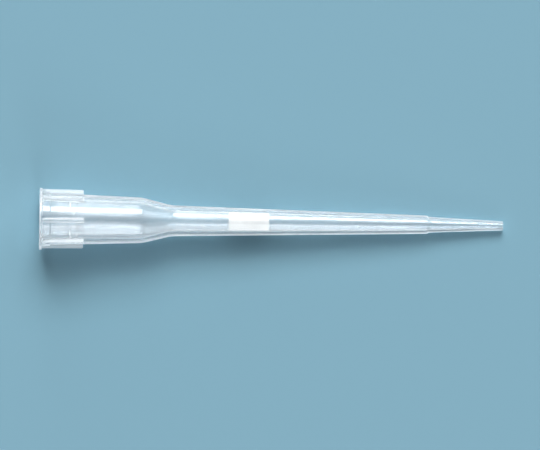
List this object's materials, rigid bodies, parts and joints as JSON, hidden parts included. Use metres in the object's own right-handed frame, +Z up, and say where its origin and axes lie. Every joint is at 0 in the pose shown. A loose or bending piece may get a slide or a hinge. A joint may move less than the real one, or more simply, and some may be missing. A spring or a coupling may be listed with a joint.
{
  "type": "pipette filter tip",
  "caption": "Long, slender translucent plastic pipette tip with a ribbed hub, stepped fine point and a white porous filter plug inside.",
  "frame": {"origin": "on the table, below the middle of the tip's bounding box as it lies on its side", "axes": "+X from the mouth towards the point, +Z up from the table"},
  "size_m": [0.0462, 0.006, 0.0061],
  "materials": {
    "clear_polypropylene": "natural translucent polypropylene, polished mould surface, slightly milky",
    "porous_polyethylene": "white sintered porous polyethylene, fine open grain"
  },
  "bodies": {
    "root": {"tip_body": "clear_polypropylene", "filter_plug": "porous_polyethylene"}
  },
  "joints": []
}
